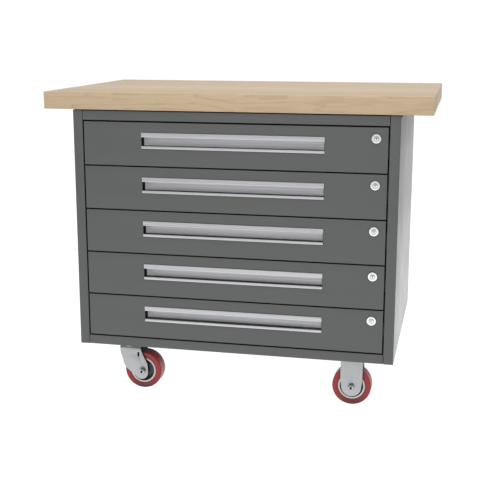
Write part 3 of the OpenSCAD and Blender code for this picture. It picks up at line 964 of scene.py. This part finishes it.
def make_swivel_fork(home):
    """A swivel caster's fork with its slots and the boss it turns on, and black blocks behind the slots
    that paint the shade inside the fork.
    """
    fork = make_fork("swivel_fork", home, swivel_leg(), BRIDGE_TOP, -78, 23)
    cut_with(fork, block("slot", spot(home, -17.5, -45, 111), spot(home, -10.5, 45, 126), 1.5, 3))
    soften(fork, 0.6, 2, 30)
    boss = turned("fork_boss", [(6.1, -2), (30, -2), (30, 1.2), (29.6, 1.6), (6.1, 1.6)],
                  spot(home, -TRAIL, 0, BRIDGE_TOP), Z, 64)
    # painted shade: black blocks behind the slots, where the inside of the fork lies in shade
    shade_blocks = [block("slot_shade_block", spot(home, -19.5, y - 1, 108.5), spot(home, -8.5, y + 1, 128.5), 0.5)
             for y in (-28, 28)]
    return weld("swivel_caster_fork", fork, boss), weld("slot_shade_blocks", *shade_blocks)


def make_rigid_fork(home):
    fork = make_fork("rigid_fork", home, rigid_leg(), PLATE_FOOT + 0.5, -35, 35)
    soften(fork, 0.6, 2, 30)
    return weld("rigid_caster_fork", fork, make_plate("rigid_plate", home, 0))


def make_axle(home):
    """A bolt across the fork, with a washer under its nut, and a black disc that paints the shade in the
    hole in its thread end.
    """
    centre = spot(home, 0, 0, WHEEL_R)
    shank = turned("axle_shank", [(0, -40), (4.3, -40), (4.5, -45.7), (5.5, -46), (6, -45.3), (6, 38),
                                  (0, 38)], centre, Y, 40)
    thread = turned("axle_nut", [(6.02, -33.4), (9.8, -33.4), (10.97, -34.2), (10.97, -38.4), (8.6, -42.2),
                                 (7.4, -42.6), (6.02, -42.2)], centre, Y, 6)
    soften(thread, 0.35, 2)
    washer = turned("axle_washer", [(6.02, -32), (12.2, -32), (12.5, -32.4), (12.5, -33.1), (12.2, -33.4),
                                    (6.02, -33.4)], centre, Y, 48)
    head = turned("axle_head", [(0, 32), (9.8, 32), (10.97, 32.8), (10.97, 38.6), (9.2, 40), (0, 40)],
                  centre, Y, 6)
    soften(head, 0.5, 3)
    # painted shade: a black disc filling the hole in the bolt's thread end
    hole = turned("axle_hole", [(0, -40.2), (4.25, -40.2), (4.25, -44.5), (0, -44.5)], centre, Y, 32)
    return weld("axle_bolt", shank, thread, washer, head), hole


def make_wheel(home):
    """The tread, the bright rim with its bearing covers, and the dark-painted web and hub between them,
    whose dark paint also paints the shade in the wheel's recess.
    """
    centre = spot(home, 0, 0, WHEEL_R)

    def both_sides(section):
        return section + [(r, -y) for r, y in reversed(section)]

    shoulder = [(44.6, -25), (47, -25), (47.4, -24.6), (48.2, -24.6), (48.6, -25), (57.5, -25)]
    tread = turned("wheel_tread", both_sides([(43.72, -24.2)] + shoulder
                                             + [(57.5 + x, y) for x, y in arc((0, -20), 5, -75, -10, 5)]
                                             + [(62.5, -14)]), centre, Y, 96)
    soften(tread, 0.2, 2, 40)
    rim = turned("wheel_rim", both_sides([(37, -4), (37, -23.4), (37.6, -24), (43.2, -24), (43.7, -23.5)]),
                 centre, Y, 96)
    soften(rim, 0.3, 2, 40)
    cover = [(6.06, 20), (6.06, 28.5), (9.5, 28.5), (11.5, 27.4), (12.4, 25.5), (12.4, 20)]
    covers = [turned("bearing_cover", [(r, side * y) for r, y in cover], centre, Y, 40)
              for side in (-1, 1)]
    bright = weld("wheel_rim", rim, *covers)
    shade(bright)
    # the web's dark paint also stands for the shade in the wheel's recess
    web_and_shade = turned("wheel_web", both_sides([(6.2, -24.5), (14.2, -24.5), (15, -23.8), (16, -13), (19, -8.5),
                                           (33, -5.5), (36.98, -9)]), centre, Y, 72)
    soften(web_and_shade, 0.4, 2, 30)
    return tread, bright, web_and_shade


def under_wheel(tread):
    """The point on the floor under the middle of a wheel."""
    low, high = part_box(tread)
    return Vector(((low.x + high.x) / 2, (low.y + high.y) / 2, 0))


def make_casters():
    """Builds one caster of each kind under the front edge, and copies it to the rear edge."""
    rigid_home = under_wheel("rigid_wheel_tread_front")
    swivel_home = under_wheel("swivel_wheel_tread_front")
    rigid = make_rigid_fork(rigid_home)
    swivel, slot_shade = make_swivel_fork(swivel_home)
    top = make_swivel_top(swivel_home)
    rigid_axle, rigid_hole_shade = make_axle(rigid_home)
    swivel_axle, swivel_hole_shade = make_axle(swivel_home)
    rigid_wheel = make_wheel(rigid_home)
    swivel_wheel = make_wheel(swivel_home)
    for end, shift in zip(ENDS, (Vector(), Y * (-2 * rigid_home.y))):
        turning = f"swivel_{end}"
        rows = [
            (rigid, "cabinet", FORK_METAL, "caster_zinc", "rigid_forks"),
            (top, "cabinet", FORK_METAL, "caster_zinc", "swivel_plates"),
            (swivel, turning, FORK_METAL, "caster_zinc", f"swivel_fork_{end}"),
            (slot_shade, turning, BLACK_PLASTIC_WITH_PAINTED_GLOW, "black_plastic", f"swivel_fork_{end}"),
            (rigid_axle, "cabinet", BOLT_METAL, "bolt_zinc", "rigid_axles"),
            (rigid_hole_shade, "cabinet", BLACK_PLASTIC_WITH_PAINTED_GLOW, "black_plastic", "rigid_axles"),
            (swivel_axle, turning, BOLT_METAL, "bolt_zinc", f"swivel_axle_{end}"),
            (swivel_hole_shade, turning, BLACK_PLASTIC_WITH_PAINTED_GLOW, "black_plastic", f"swivel_axle_{end}"),
        ]
        for kind, (tread, rim, web) in (("rigid", rigid_wheel), ("swivel", swivel_wheel)):
            wheel, core = f"{kind}_wheel_{end}", f"{kind}_wheel_core_{end}"
            rows += [
                (tread, wheel, TREAD, "red_tread", f"{kind}_wheel_tread_{end}"),
                (rim, wheel, CORE_METAL, "wheel_core", core),
                (web, wheel, WEB_PAINT_AND_SHADE, "wheel_web", core),
            ]
        for master, body, material, slot, node in rows:
            fit(copy_of(master, f"{master.name}_{node}", shift), body, material, node)
    clear_away((rigid, top, swivel, slot_shade, rigid_axle, rigid_hole_shade, swivel_axle, swivel_hole_shade,
                *rigid_wheel, *swivel_wheel))


# ---------- finish the scene ----------

def refinish(names, material):
    """Gives carried-over CAD nodes a better material."""
    for name in names:
        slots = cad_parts[name].data.materials
        slots.clear()
        slots.append(material)


add_camera()
light_the_studio()
add_floor(studio_floor())
make_worktop()
make_sides()
make_front_rails()
make_back()
make_drawers()
make_slides()
make_casters()

refinish(["slide_posts"], SLIDE_METAL)
refinish(["worktop_screws", "caster_bolts"], BOLT_METAL)
